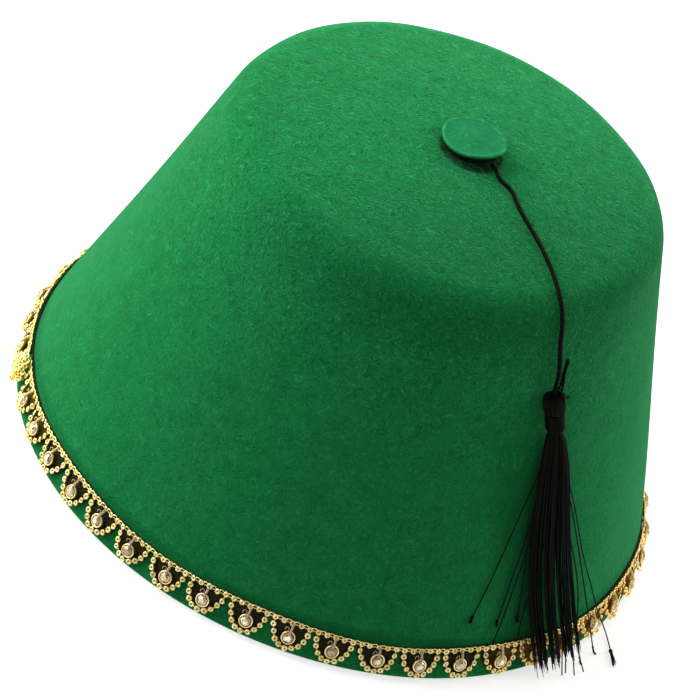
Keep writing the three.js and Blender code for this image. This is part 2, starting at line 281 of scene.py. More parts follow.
def make_piece(name, form, finish, replaced=(), facets=None, unrolled=None):
    """Puts a form into a mesh in metres, at the origin, and rides it on the hat. Facets shade flat faces."""
    mesh = bpy.data.meshes.new(name)
    mesh.from_pydata((form.points * MM).tolist(), [], form.quads.tolist() + form.tris.tolist())
    shade = mesh.attributes.new("shade", "FLOAT", "POINT")
    shade.data.foreach_set("value", form.shade.astype(np.float32))
    if unrolled is not None:
        corners = np.empty(len(mesh.loops), np.int32)
        mesh.loops.foreach_get("vertex_index", corners)
        layer = mesh.uv_layers.new(name="unrolled")
        layer.data.foreach_set("uv", unrolled[corners].astype(np.float32).ravel())
    if facets is not None:
        layer = mesh.attributes.new("facet", "FLOAT", "FACE")
        layer.data.foreach_set("value", facets.astype(np.float32).ravel())
    mesh.polygons.foreach_set("use_smooth", np.full(len(mesh.polygons), facets is None))
    mesh.update()
    mesh.materials.append(finish)
    piece = bpy.data.objects.new(name, mesh)
    bpy.context.scene.collection.objects.link(piece)
    if replaced:
        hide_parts(*replaced)
    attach(piece, "root")
    return piece


def arithmetic(operation, swapped=False):
    """A method of Value that adds a Math node."""

    def method(self, other):
        pair = (other, self) if swapped else (self, other)
        return self.finish.node("Math", {"operation": operation}, dict(enumerate(pair)))

    return method


class Value:
    """An output socket of a finish. Arithmetic on it adds Math nodes."""

    def __init__(self, finish, socket):
        self.finish = finish
        self.socket = socket

    __add__ = __radd__ = arithmetic("ADD")
    __mul__ = __rmul__ = arithmetic("MULTIPLY")
    __sub__ = arithmetic("SUBTRACT")
    __rsub__ = arithmetic("SUBTRACT", swapped=True)
    at_most = arithmetic("MINIMUM")
    at_least = arithmetic("MAXIMUM")

    def rise(self, low, high):
        """0 below low, 1 above high, and smooth between."""
        limits = {"Value": self, "From Min": low, "From Max": high}
        return self.finish.node("MapRange", {"interpolation_type": "SMOOTHSTEP"}, limits)

    def rise_mm(self, low, high):
        """The same for a value in metres, with limits in millimetres."""
        return self.rise(low * MM, high * MM)


class Finish:
    """A material, its nodes added one by one."""

    def __init__(self, name):
        self.material = bpy.data.materials.new(name)
        self.material.use_nodes = True
        self.tree = self.material.node_tree
        self.tree.nodes.clear()
        self.place = self.node("TexCoord", output="Object")

    def node(self, kind, settings=(), inputs=(), output=0):
        """Adds a node with its settings, and the value or link of each input socket."""
        made = self.tree.nodes.new("ShaderNode" + kind)
        for key, value in dict(settings).items():
            setattr(made, key, value)
        for key, value in dict(inputs).items():
            if isinstance(value, Value):
                self.tree.links.new(value.socket, made.inputs[key])
            else:
                made.inputs[key].default_value = value
        return Value(self, made.outputs[output]) if made.outputs else None

    def vector(self, operation, first, second):
        output = "Value" if operation in ("DOT_PRODUCT", "DISTANCE") else "Vector"
        return self.node("VectorMath", {"operation": operation}, {0: first, 1: second}, output)

    def along(self, x, y, z):
        """How far the place lies along a direction."""
        return self.vector("DOT_PRODUCT", self.place, (x, y, z))

    def stored(self, name):
        """What make_piece stored under the name."""
        return self.node("Attribute", {"attribute_name": name}, {}, "Fac")

    def scaled(self, scale, turn=(0, 0, 0), shift=(0, 0, 0), source=None):
        """The place in millimetres, turned and then scaled, by one number or by one for each axis."""
        inputs = {"Vector": source or self.place, "Rotation": turn, "Location": shift, "Scale": (1 / MM,) * 3}
        scale = scale if isinstance(scale, tuple) else (scale,) * 3
        return self.vector("MULTIPLY", self.node("Mapping", {}, inputs), scale)

    def swirled(self, size, amount):
        """The place moved by up to half the amount each way, by soft noises of the given size."""
        inputs = {"Vector": self.scaled(1 / size), "Scale": 1.0, "Detail": 1.0}
        shift = self.node("TexNoise", {}, inputs, "Color")
        centred = self.vector("SUBTRACT", shift, (0.5, 0.5, 0.5))
        return self.vector("ADD", self.place, self.vector("MULTIPLY", centred, (amount * MM,) * 3))

    def noise(self, vector, detail, roughness):
        inputs = {"Vector": vector, "Scale": 1.0, "Detail": detail, "Roughness": roughness}
        return self.node("TexNoise", {}, inputs, "Fac")

    def grain(self, scale, detail, roughness):
        """Noise over the place, of the given scale in each millimetre."""
        return self.noise(self.scaled(scale), detail, roughness)

    def mix(self, factor, first, second):
        colours = [(*c, 1) if isinstance(c, tuple) else c for c in (first, second)]
        return self.node("Mix", {"data_type": "RGBA"}, {0: factor, 6: colours[0], 7: colours[1]}, 2)

    def layered(self, colour, *layers):
        """Lays each layer's colour over those before it, where its mask is 1."""
        for mask, layer in layers:
            colour = self.mix(mask, colour, layer)
        return colour

    def beyond(self, side, low, high):
        """1 at one side of the hat and 0 at its middle: side is 1 for the right and -1 for the left."""
        return self.along(side, 0, 0).rise_mm(low, high)

    def bump(self, height, distance, strength):
        inputs = {"Height": height, "Distance": distance * MM, "Strength": strength}
        return self.node("Bump", {}, inputs, "Normal")

    def surface(self, **sockets):
        """The one shader, with each socket named by its words joined with underscores."""
        inputs = {key.replace("_", " "): value for key, value in sockets.items()}
        shader = self.node("BsdfPrincipled", {}, inputs, "BSDF")
        self.node("OutputMaterial", {}, {"Surface": shader})
        return self.material


# The felt's fibres: their size, the curl that bends them, and the turn of each layer.
FIBRE_LONG = 2.7
FIBRE_WIDE = 0.85
FIBRE_CURL = 5.0
FIBRE_BEND = 7.0
FIBRE_TURNS = [
    (0.3, 0.2, 0.1), (0.9, 1.1, 0.7), (0.2, 1.6, 1.3), (1.4, 0.5, 2.0), (2.2, 2.4, 2.6), (0.6, 2.9, 3.0),
]
FIBRE_SHIFT = (7.3, 3.1, 5.7)
# The felt's colours, as linear red, green and blue.
FELT_GREENS = (0.0066, 0.155, 0.038), (0.0082, 0.188, 0.047)
FELT_GAPS = (0.0018, 0.066, 0.017)
FELT_TIPS = (0.022, 0.330, 0.115)
# Painted shadow on the felt just over the trim.
FELT_IN_TRIM_SHADOW = (0.0020, 0.075, 0.018)
# Painted shade on the front right of the top, by the shoulder.
FELT_IN_FRONT_SHADE = (0.0024, 0.070, 0.018)
# Painted shadow of the tassel on the felt.
FELT_IN_TASSEL_SHADOW = (0.0014, 0.055, 0.013)
# Painted shadow on the crown round the button.
FELT_IN_BUTTON_SHADOW = (0.0026, 0.0052, 0.0012)
FELT_BLOOM = (0.15, 0.85, 0.34, 1)
# The painted shadow behind the tassel: the two ends of its middle, and its shift to the side.
BEHIND_AZIMUTHS = np.array([-44.5, -35.5])
BEHIND_REACHES = np.array([95, 168])
BEHIND_SHIFT = 4
# The painted shadow on the crown round the button: its middle, measured from the button's, and its soft edge's
# radii.
BUTTON_SHADOW_SHIFT = (0.5, -1.2)
BUTTON_SHADOW_RADII = (8.8, 10.2)


def felt_fibres(finish):
    """Short curved fibres lying every way, from turned noises: masks of the light ones and the dark gaps."""
    swirl = finish.swirled(FIBRE_CURL, FIBRE_BEND)
    stretch = (1 / FIBRE_LONG, 1 / FIBRE_WIDE, 1 / FIBRE_WIDE)
    light = dark = None
    for number, turn in enumerate(FIBRE_TURNS):
        place = finish.scaled(stretch, turn, tuple(number * shift for shift in FIBRE_SHIFT), swirl)
        strand = finish.noise(place, 1.5, 0.55)
        light = strand if light is None else light.at_least(strand)
        dark = strand if dark is None else dark.at_most(strand)
    return light.rise(0.60, 0.78), 1.0 - dark.rise(0.24, 0.40)


def felt_surface(finish, colour, height, bloom):
    """Matt wool with a green bloom where it is seen edge on."""
    return finish.surface(
        Base_Color=colour,
        Roughness=0.95,
        Specular_IOR_Level=0.03,
        Sheen_Weight=bloom,
        Sheen_Roughness=0.38,
        Sheen_Tint=FELT_BLOOM,
        Normal=finish.bump(height, 0.20, 0.8),
    )


def painted_tassel_shadow(finish, height_up):
    """Mask of the tassel's painted shadow: 1 near an upright plane through the tassel's middle, low on the
    felt, and 0 away from it.
    The plane runs on through the hat, so the band of painted shadow shows on the far side as well."""
    high, low = on_felt(BEHIND_AZIMUTHS, BEHIND_REACHES, 0.0)
    beside = unit(np.cross(low - high, side_normal((high + low) / 2)))
    off = finish.along(*beside.tolist()) - float(high @ beside + BEHIND_SHIFT) * MM
    off = off.at_least(-1 * off)
    return (1.0 - off.rise_mm(6, 18)) * (1.0 - height_up.rise_mm(48, 78))


def crown_finish():
    """Pressed wool in soft patches, rougher on top, with painted shadows over the trim, round the button and
    behind the tassel, and painted shade at the front right of the shoulder."""
    finish = Finish("pressed_wool_felt")
    light, dark = felt_fibres(finish)
    patches = finish.grain(1 / 6, 3, 0.6).rise(0.3, 0.7)
    height_up = finish.along(0, 0, 1)
    rough = 0.42 + 0.33 * height_up.rise_mm(55, 108)
    # Mask of the painted shadow on the felt just over the trim.
    trim_shadow = height_up.rise_mm(9.0, 10.5) * (1.0 - height_up.rise_mm(11.2, 13.5))
    # Mask of the painted shade at the front right of the top, by the shoulder.
    front_shoulder_shade = finish.along(0.6, -0.8, 0).rise_mm(0, 55) * height_up.rise_mm(85, 108)
    # Painted shadow on the crown round the button, darkest near it and fading at its soft edge.
    under = Vector((BUTTON_PLACE[0] + BUTTON_SHADOW_SHIFT[0], BUTTON_PLACE[1] + BUTTON_SHADOW_SHIFT[1], TOP)) * MM
    button_shadow_distance = finish.vector("DISTANCE", finish.place, under)
    colour = finish.layered(
        finish.mix(patches, *FELT_GREENS),
        (dark * rough, FELT_GAPS),
        (light * rough, FELT_TIPS),
        (0.45 * trim_shadow, FELT_IN_TRIM_SHADOW),
        (0.36 * front_shoulder_shade, FELT_IN_FRONT_SHADE),
        (0.5 * painted_tassel_shadow(finish, height_up), FELT_IN_TASSEL_SHADOW),
        (0.96 * (1.0 - button_shadow_distance.rise_mm(*BUTTON_SHADOW_RADII)), FELT_IN_BUTTON_SHADOW),
    )
    return felt_surface(finish, colour, (light - dark) * rough, 0.65)


def button_finish():
    """Paler felt on top, palest along its rim, and painted shade, dark olive, where its side turns under."""
    finish = Finish("button_felt")
    light, dark = felt_fibres(finish)
    shade = finish.stored("shade")
    pulled = finish.grain(0.5, 3, 0.6).rise(0.3, 0.7)
    colour = finish.layered(
        (0.014, 0.225, 0.076),
        (0.5 * light, (0.034, 0.350, 0.138)),
        (0.4 * dark, (0.007, 0.140, 0.042)),
        (0.6 * (shade.rise(0.6, 1.0) * pulled), (0.060, 0.400, 0.180)),
        # Painted shade: dark olive on the button's side, where it turns under.
        (1.0 - shade.rise(0.0, 0.4), (0.0030, 0.0060, 0.0015)),
    )
    return felt_surface(finish, colour, light - dark, 0.12)


def silk_finish():
    """Black silky thread: fine grey streaks, each thread a little different by its shade."""
    finish = Finish("black_silk_thread")
    shade = finish.stored("shade")
    fine = finish.grain((3, 3, 0.5), 2, 0.5)
    colour = finish.mix(shade * fine.rise(0.35, 0.75), (0.0012, 0.0014, 0.0008), (0.0048, 0.0048, 0.0034))
    return finish.surface(
        Base_Color=colour,
        Roughness=0.62 - 0.27 * shade,
        Specular_IOR_Level=0.06,
        Normal=finish.bump(fine, 0.05, 0.5),
    )


def gold_finish():
    """Light gold, brighter or browner by the bead's shade, worn to orange in places, redder at the hat's
    right and yellower at its left."""
    finish = Finish("gilt_beads")
    worn = finish.grain(1.1, 3, 0.6).rise(0.35, 0.7)
    colour = finish.layered(
        finish.mix(finish.stored("shade"), (0.68, 0.50, 0.14), (0.96, 0.86, 0.42)),
        (0.35 * worn, (0.56, 0.34, 0.09)),
        (0.7 * finish.beyond(1, 56, 84), (1.0, 0.70, 0.22)),
        (0.5 * finish.beyond(-1, 70, 88), (0.92, 0.76, 0.20)),
    )
    return finish.surface(
        Base_Color=colour,
        Metallic=0.92,
        Roughness=0.24 + 0.22 * worn,
        Normal=finish.bump(finish.grain(4, 2, 0.5), 0.05, 0.6),
    )


def stone_finish():
    """Foiled glass with painted reflections: each facet gets its own painted mix of brown, rosy straw and
    bright cream.
    """
    finish = Finish("foiled_stone")
    cloud = finish.grain(1.4, 2, 0.5)
    light = finish.stored("facet") + 0.35 * (cloud - 0.5)
    colour = finish.mix(light.rise(0.0, 0.5), (0.19, 0.115, 0.050), (0.66, 0.50, 0.28))
    return finish.surface(
        # Painted highlight: bright cream where a facet's painted reflection is brightest.
        Base_Color=finish.mix(light.rise(0.55, 0.95), colour, (1.0, 0.95, 0.70)),
        Metallic=0.55,
        Roughness=0.10 + 0.08 * cloud,
        Coat_Weight=1.0,
        Coat_Roughness=0.02,
    )


def hanger_finish():
    """Beige thread with a little pink in it, and golden at the hat's left and right."""
    finish = Finish("beige_thread")
    fine = finish.grain(3, 2, 0.5).rise(0.3, 0.7)
    colour = finish.layered(
        finish.mix(fine, (0.36, 0.23, 0.12), (0.68, 0.50, 0.31)),
        (0.9 * finish.beyond(1, 50, 74), (1.0, 0.76, 0.26)),
        (0.85 * finish.beyond(-1, 60, 82), (0.92, 0.74, 0.24)),
    )
    raised = finish.bump(fine, 0.06, 0.6)
    return finish.surface(Base_Color=colour, Roughness=0.7, Sheen_Weight=0.3, Normal=raised)


def net_finish():
    """Crossing brown threads with nearly black gaps, on the strip's unrolled place. The net, and not the tape
    over it, is browner at the hat's left and right."""
    finish = Finish("dark_net")
    unrolled = finish.node("UVMap", {"uv_map": "unrolled"}, {}, "UV")
    threads = None
    for turn in (0.75, -0.8):
        across = finish.node("Mapping", {}, {"Vector": unrolled, "Rotation": (0, 0, turn)})
        inputs = {"Vector": across, "Scale": 0.55, "Distortion": 1.4}
        wave = finish.node("TexWave", {"wave_type": "BANDS"}, inputs, "Fac")
        threads = wave if threads is None else threads.at_least(wave)
    threads = threads.rise(0.75, 0.97)
    patches = finish.grain(0.5, 2, 0.6).rise(0.35, 0.7)
    up = finish.vector("DOT_PRODUCT", unrolled, (0, 1, 0))
    netted = 1.0 - up.rise(TAPE_HEIGHT - 0.4, TAPE_HEIGHT - 0.2)
    colour = finish.layered(
        finish.mix(threads * (0.4 + 0.6 * patches), (0.0050, 0.0125, 0.0040), (0.075, 0.050, 0.018)),
        (0.8 * netted * finish.beyond(1, 60, 80), (0.34, 0.150, 0.022)),
        (0.5 * netted * finish.beyond(-1, 70, 88), (0.16, 0.115, 0.020)),
    )
    raised = finish.bump(threads, 0.2, 0.8)
    return finish.surface(Base_Color=colour, Roughness=0.8, Specular_IOR_Level=0.1, Normal=raised)


# The photograph's camera: it looks at the middle of the rim from in front and above, and is rolled.
CAMERA_DISTANCE = 2195.83
CAMERA_RISE = math.radians(37.117)
CAMERA_YAW, CAMERA_PITCH, CAMERA_ROLL = -0.00273072, -0.01336448, -0.39739779
FOCAL_PIXELS = 7562.3
SENSOR = 36.0
PHOTO_WIDTH = 700


def place_camera():
    camera = bpy.data.cameras.new("photo_camera")
    camera.sensor_width = SENSOR
    camera.lens = FOCAL_PIXELS * SENSOR / PHOTO_WIDTH
    camera.clip_start, camera.clip_end = 0.05, 50
    holder = bpy.data.objects.new("photo_camera", camera)
    bpy.context.scene.collection.objects.link(holder)
    level = Matrix.Rotation(math.pi / 2 - CAMERA_RISE, 3, "X")
    turn = Matrix.Rotation(CAMERA_ROLL, 3, "Z") @ Matrix.Rotation(CAMERA_PITCH, 3, "X")
    turn = turn @ Matrix.Rotation(CAMERA_YAW, 3, "Y")
    place = Vector((0, -math.cos(CAMERA_RISE), math.sin(CAMERA_RISE))) * CAMERA_DISTANCE * MM
    holder.matrix_world = Matrix.Translation(place) @ (level @ turn.transposed()).to_4x4()
    bpy.context.scene.camera = holder


# Cord: azimuth, reach from the crown's centre along the felt, and height of its middle over the felt.
CORD_ROUTE = [
    (-22, 11.7, 1), (-27.6, 14.2, 1), (-33, 16.9, 1), (-32.7, 21.6, 1), (-36.2, 25.7, 1),
    (-40.2, 34.5, 1), (-41.9, 43.5, 1), (-44.1, 53.8, 1), (-45.6, 60.9, 1), (-45.8, 66, 1),
    (-45.3, 73.5, 1.1), (-44.7, 79, 1.5), (-45.1, 84, 2.6), (-45.8, 86.7, 3.3),
]
# Its end lies hidden in the tassel.
CORD_END = [(-45.3, 91, 3.5), (-43.9, 98, 3.5), (-42.4, 108, 3.4), (-41.3, 117, 3.4), (-39.5, 135, 3.4)]
CORD_PLIES = 3
CORD_TWIST = 3.1
# The cord's twist is measured from the side that faces away from here.
FAR_BELOW = np.array([0, 0, -120])
TASSEL_ROUTE = [
    (-46, 87.2, 3.5), (-43.6, 99.6, 3.5), (-41.4, 116.2, 3.4), (-39.3, 136.5, 3.4), (-37.1, 153, 3.7),
    (-35.9, 165, 5.4), (-34.2, 175, 6.1),
]
# The tassel's loop: a thinner cord from the head up beside the cord and back.
LOOP_ROUTE = [
    (-46.3, 88.5, 3.6), (-44.4, 86, 3), (-43.4, 82.4, 2), (-42.8, 79.2, 1.7), (-42.5, 78.3, 1.6),
    (-42.3, 78.6, 1.6), (-42.5, 79.8, 1.8), (-43.2, 83, 2.4), (-44, 86.4, 3.6), (-44.9, 88.5, 4),
]
LOOP_RADIUS = 0.42
LOOP_TWIST = 2.2


def route(rows, count):
    azimuth, reach, lift = np.array(rows, float).T
    return smooth_line(on_felt(azimuth, reach, lift), count)


def make_cord(finish):
    """Three plies twisted on the route, from under the button over the shoulder into the tassel."""
    line = route(CORD_ROUTE + CORD_END, 520)
    shades = np.array([0.35, 0.6, 0.8])
    form = twisted(line, CORD / 2, CORD_PLIES, CORD_TWIST, 7, unit(line - FAR_BELOW), shades)
    cord = make_piece("tassel_cord_twist", form, finish, ["tassel_cord"])


# Tassel, down from its top: the head's radius at each distance, its folded threads, the neck's binding.
HEAD_TOP = 0.6
NECK_FOOT = 12.4
HEAD_DOWN = [HEAD_TOP, 0.8, 1.5, 2.8, 4.6, 5.6, 6.2, NECK_FOOT]
HEAD_RADIUS = [1.6, 2.52, 2.91, 2.94, 2.85, 2.8, 2.4, 1.9]
FOLD_FOOT = 7.6
FOLDED_THREADS = 38
FOLDED_RADIUS = 0.27
BINDING_TOP = 6.5
BINDING_LENGTH = 5.4
BINDING_RADIUS = 2.65
BINDING_TURNS = 9.5
BINDING_THREAD = 0.26
BINDING_INSET = 0.27
# The skirt's half width along the felt and off it, at parts of the way down, and its threads.
SKIRT_WAY = [0.0, 0.07, 0.135, 0.175, 0.255, 0.31, 0.52, 0.73, 0.96, 1.05]
SKIRT_ACROSS = [1.5, 1.7, 1.75, 3.3, 4.6, 5.4, 6.6, 7.3, 7.5, 7.6]
SKIRT_OFF = [1.5, 1.7, 1.75, 2.3, 2.7, 2.9, 3.0, 2.8, 2.5, 2.4]
SKIRT_TOP = 0.075
THREADS = 380
THREAD_RADIUS = 0.19
SHORTEST, SHORTER_BY = 0.965, 0.035
LONG_SHARE, LONGER_BY = 0.12, 0.03
# The skirt's locks, as parts of its half width and thickness, and how far each strays at its foot.
LOCKS_ACROSS = np.array([-0.95, -0.73, -0.45, -0.22, 0.08, 0.36, 0.66, 0.93])
LOCKS_OFF = np.array([-0.60, -0.75, -0.40, -0.05, 0.20, 0.25, 0.65, 0.70])
LOCK_SWAY = np.array([-0.2, 0.4, -0.3, 0.3, -0.4, 0.3, -0.2, 0.5])
# Where the threads start to gather into locks, and over how much of the way.
GATHER_FROM, GATHER_OVER = 0.34, 0.42
ROUTE_POINTS = 400


def tassel_frame(way):
    """Middle, axis down, axis across and axis off the felt, at parts of the way down the tassel."""
    line = route(TASSEL_ROUTE, ROUTE_POINTS)
    number = np.arange(ROUTE_POINTS)
    stops = np.clip(way, 0, 1) * number[-1]
    along = unit(read_off(unit(np.gradient(line, axis=0)), number, stops))
    past = np.maximum(way - 1, 0) * gone_along(line)[-1]
    middle = read_off(line, number, stops) + along * past[..., None]
    across = unit(np.cross(side_normal(middle), along))
    return middle, along, across, np.cross(along, across)


def skirt_threads():
    """Threads from the neck down. Each keeps its place in the skirt's oval, wanders and leans to its lock."""
    steps = np.linspace(0, 1, 18)
    ends = SHORTEST + SHORTER_BY * rng.random(THREADS)
    ends = np.where(rng.random(THREADS) < LONG_SHARE, 1.0 + LONGER_BY * rng.random(THREADS), ends)
    way = SKIRT_TOP + (ends[:, None] - SKIRT_TOP) * steps
    middle, along, across, off = tassel_frame(way)
    out = np.sqrt(rng.random(THREADS))
    turn = rng.random(THREADS) * 2 * math.pi
    flat_x, flat_y = out * np.cos(turn), out * np.sin(turn)
    nearest = np.abs((flat_x + 0.45 * flat_y)[:, None] / 1.1 - LOCKS_ACROSS).argmin(1)
    gather = rng.uniform(0.35, 0.95, (THREADS, 1)) * np.clip((way - GATHER_FROM) / GATHER_OVER, 0, 1)
    x = flat_x[:, None] * (1 - gather) + LOCKS_ACROSS[nearest][:, None] * gather
    y = flat_y[:, None] * (1 - gather) + LOCKS_OFF[nearest][:, None] * gather
    sway = LOCK_SWAY[nearest][:, None] * np.clip((way - 0.4) / 0.6, 0, 1) ** 2
    wave = np.sin(way * rng.uniform(3, 9, (THREADS, 1)) + turn[:, None] * 7)
    wander = 0.35 * np.clip(way - 0.15, 0, 1) * wave
    x = x * np.interp(way, SKIRT_WAY, SKIRT_ACROSS) + wander + sway
    y = y * np.interp(way, SKIRT_WAY, SKIRT_OFF)
    lines = kept_up(middle + x[..., None] * across + y[..., None] * off, 0.5)
    thin = THREAD_RADIUS * (1 - 0.45 * steps**6)
    return tube(lines, thin, 4, off, rng.random(THREADS))


def on_neck(form):
    """Lays a form made along z on the tassel, from the top of its head down."""
    middle, along, across, off = tassel_frame(np.zeros(1))
    return form.copies(middle, np.stack([across, off, along], 1))


def tassel_head():
    """The bulb, and the threads that are folded over it."""
    down = np.linspace(HEAD_TOP, NECK_FOOT, 26)
    core = turned(np.stack([np.interp(down, HEAD_DOWN, HEAD_RADIUS) - 0.25, down], 1), 24)
    turn = round_turn(FOLDED_THREADS)[:, None] + rng.normal(0, 0.03, (FOLDED_THREADS, 1))
    fall = np.linspace(HEAD_TOP, FOLD_FOOT, 13)
    radius = np.interp(fall, HEAD_DOWN, HEAD_RADIUS) + rng.normal(0, 0.08, (FOLDED_THREADS, 1))
    swing = turn + 0.05 * np.sin(fall + turn * 5)
    out = round_z(1.0, swing, -0.3)
    return core + tube(round_z(radius, swing, fall), FOLDED_RADIUS, 5, out, rng.random(FOLDED_THREADS))


def binding_coil():
    """One thread wound round the neck: a helix of close turns."""
    step = np.linspace(0, 1, int(BINDING_TURNS * 22))
    angle = 2 * math.pi * BINDING_TURNS * step
    radius = BINDING_RADIUS + 0.03 * np.sin(3 * angle)
    height = BINDING_TOP + BINDING_INSET + (BINDING_LENGTH - 2 * BINDING_INSET) * step
    return tube(round_z(radius, angle, height), BINDING_THREAD, 6, round_z(1.0, angle, 0.0))


# Loose strands, as rows like the cord's. The longest ones end on the floor.
STRANDS = [
    [(-45.5, 114.5, 2.6), (-47, 125.5, 1.6), (-48.5, 136.5, 0.9), (-50.5, 148, 0.8), (-52.5, 158.5, 0.8)],
    [(-44.5, 128, 2.4), (-45.5, 146, 1), (-47, 160.5, 0.9)],
    [(-44.5, 130.5, 2.4), (-43, 148, 1.2), (-42.5, 160, 1)],
    [(-44, 135.5, 2.4), (-45, 151, 1.2), (-46.5, 161.5, 1.6), (-48, 165, 3.4)],
    [(-41.5, 151.5, 2.6), (-42, 159, 2), (-43, 165, 3.4)],
    [(-35, 122.5, 2.6), (-32, 132, 2.3), (-28.5, 145, 2.2), (-25.5, 155, 2.5), (-22.5, 167, 3.6)]
    + [(-18, 178.5, 3.2), (-21, 180, 8)],
    [(-33.5, 130.5, 2.6), (-26, 164.5, 3.8), (-24, 177.5, 5)],
    [(-33, 139.5, 3), (-29, 159.5, 3.4), (-29, 174, 5.6), (-29, 180.5, 8.8)],
    [(-32.5, 144.5, 3), (-29.5, 162.5, 3.6), (-28, 178, 5.5)],
    [(-35, 141, 3.5), (-33, 169.5, 5), (-33.5, 179.5, 7.5)],
    [(-34.5, 143, 3.5), (-32, 170, 5), (-32.5, 179.5, 7.2)],
    [(-34, 146, 3.5), (-30.5, 170.5, 5), (-31.5, 180, 9.1)],
]
STRAND_RADIUS = 0.20
# How some of them end: the length of the brush, and the radius of the knot over it.
STRAND_ENDS = {
    0: (2.0, 0.50), 1: (1.8, 0.48), 2: (2.0, 0.50), 3: (1.0, 0.30), 5: (6.5, 0.60), 6: (4.2, 0.34),
    8: (3.0, 0.34),
}
KNOT_PROFILE = np.array([[0.2, -1.5], [0.7, -1.0], [1, -0.2], [0.95, 0.5], [0.5, 1.1]])
HAIRS = 9
HAIR_RADIUS = 0.19


def strand_lines():
    """The middle line of each loose strand, from the neck on along its own rows."""
    start = tassel_frame(np.array([0.13]))[0]
    rows = [np.concatenate([start, on_felt(*np.array(strand).T)]) for strand in STRANDS]
    return kept_up(np.array([smooth_line(points, 30) for points in rows]), 0.45)


def strand_end(line, brush, knot):
    """A knot turned round the strand's end, and hairs that spread from it, up to a brush long."""
    tip, along = line[-1], unit(line[-1] - line[-3])
    across = unit(np.cross(side_normal(tip), along))
    out = np.cross(along, across)
    bead = turned(knot * KNOT_PROFILE, 8).copies(tip[None], np.stack([across, out, along])[None])
    angle = rng.random((HAIRS, 1)) * 2 * math.pi
    spread = knot * rng.uniform(0.4, 1.3, (HAIRS, 1))
    fall = np.linspace(0, 1, 5)[None]
    wide = spread * (0.35 + 0.65 * fall)
    hairs = tip + (wide * np.cos(angle))[..., None] * across + (wide * np.sin(angle))[..., None] * out
    hairs = kept_up(hairs + (fall * brush * rng.uniform(0.75, 1.0, (HAIRS, 1)))[..., None] * along, 0.3)
    thin = HAIR_RADIUS * (1 - 0.4 * fall)
    return bead + tube(hairs, thin, 4, np.broadcast_to(out, hairs.shape), rng.random(HAIRS))


def loose_strands():
    """Single threads, some of them with a small knot and a brush at the end."""
    lines = strand_lines()
    form = tube(lines, STRAND_RADIUS, 5, side_normal(lines), np.full(len(lines), 0.4))
    for number, (brush, knot) in STRAND_ENDS.items():
        form = form + strand_end(lines[number], brush, knot)
    return form


def hanging_loop():
    line = route(LOOP_ROUTE, 110)
    return twisted(line, LOOP_RADIUS, 2, LOOP_TWIST, 6, side_normal(line), np.array([0.4, 0.7]))


def head_tuft():
    """A short loop and a few cut fibres at the side of the head."""
    facing = np.array([0, 1.0, 0])
    turn = np.linspace(-0.4, math.pi + 0.2, 16)
    form = tube(places(2.2 + 1.25 * np.sin(turn), 0.4, 2.0 - 1.2 * np.cos(turn)), 0.22, 5, facing)
    count = 7
    fall = np.linspace(0, 1, 5)
    tilt = rng.uniform(-0.25, 0.25, (count, 1))
    lines = places(2.4 + 2.7 * fall, 0.3 + 1.1 * tilt * fall, 3.3 + (tilt - 0.15) * 2.2 * fall)
    return form + tube(lines, 0.15 * (1 - 0.6 * fall), 4, facing, rng.random(count))


def make_tassel(finish):
    """The tassel's pieces: name, form, and what each takes the place of."""
    made = [
        ("tassel_skirt", skirt_threads(), ["tassel"]),
        ("tassel_head", on_neck(tassel_head() + head_tuft()), []),
        ("neck_binding", on_neck(binding_coil()), ["tassel_binding"]),
        ("tassel_strands", loose_strands(), []),
        ("tassel_loop", hanging_loop(), []),
    ]
    return [make_piece(name, form, finish, replaced) for name, form, replaced in made]


CUT_EDGE = 0.55
CROWN_SIDES = 330


def crown_profile():
    """Radius and height: down the inside, round the cut edge at the rim, and up the outside."""
    inside = np.linspace(1.0, RIM_REACH - FELT / math.tan(SIDE_ANGLE) - CUT_EDGE, 46)
    side = np.linspace(RIM_REACH - CUT_EDGE, SIDE_REACH, 62)
    shoulder = np.linspace(SIDE_REACH, DOME_REACH, 16)[1:]
    dome = np.linspace(DOME_REACH, 0.8, 36)[1:]
    within = np.stack(outline(inside, -FELT), 1)
    without = np.stack(outline(np.r_[side, shoulder, dome], 0.0), 1)
    low_in, low_out = within[-1], without[0]
    turn = np.linspace(0, math.pi / 2, 5)[1:-1]
    foot_in = low_in + np.stack([CUT_EDGE * (1 - np.cos(turn)), -low_in[1] * np.sin(turn)], 1)
    foot_out = low_out - np.stack([CUT_EDGE * (1 - np.sin(turn)), low_out[1] * np.cos(turn)], 1)
    return np.concatenate([within, foot_in, foot_out, without])


def shoulder_dip(around, high):
    """Soft hollows under the shoulder, at the left and the right: bells in azimuth and height."""
    dip = 0
    for deep, azimuth, wide, height, tall in ((1, 200, 0.22, 0.80, 0.07), (0.7, 318, 0.30, 0.72, 0.10)):
        away = ((around - math.radians(azimuth)) / wide) ** 2 + ((high - height) / tall) ** 2
        dip = dip + deep * np.exp(-away)
    return dip


def make_crown(finish):
    """The felt turned round z, uneven in slow waves that die out at the rim and the middle."""
    profile = crown_profile()
    radius, height = profile[:, :1], profile[:, 1:]
    around, high = round_turn(CROWN_SIDES), height / TOP
    uneven = 0.22 * np.sin(3 * around + 1.1) * np.sin(2.6 * high + 0.4) + 0.16 * np.sin(7 * around + 5 * high)
    uneven = uneven + 0.10 * np.sin(13 * around - 9 * high + 2.0) - 0.35 * shoulder_dip(around, high)
    uneven = uneven * np.clip(high * 8, 0, 1) * np.clip(radius / 40, 0, 1)
    rings = round_z(radius + uneven, around, height)
    make_piece("felt_shell", skin(rings), finish, ["felt_crown"])


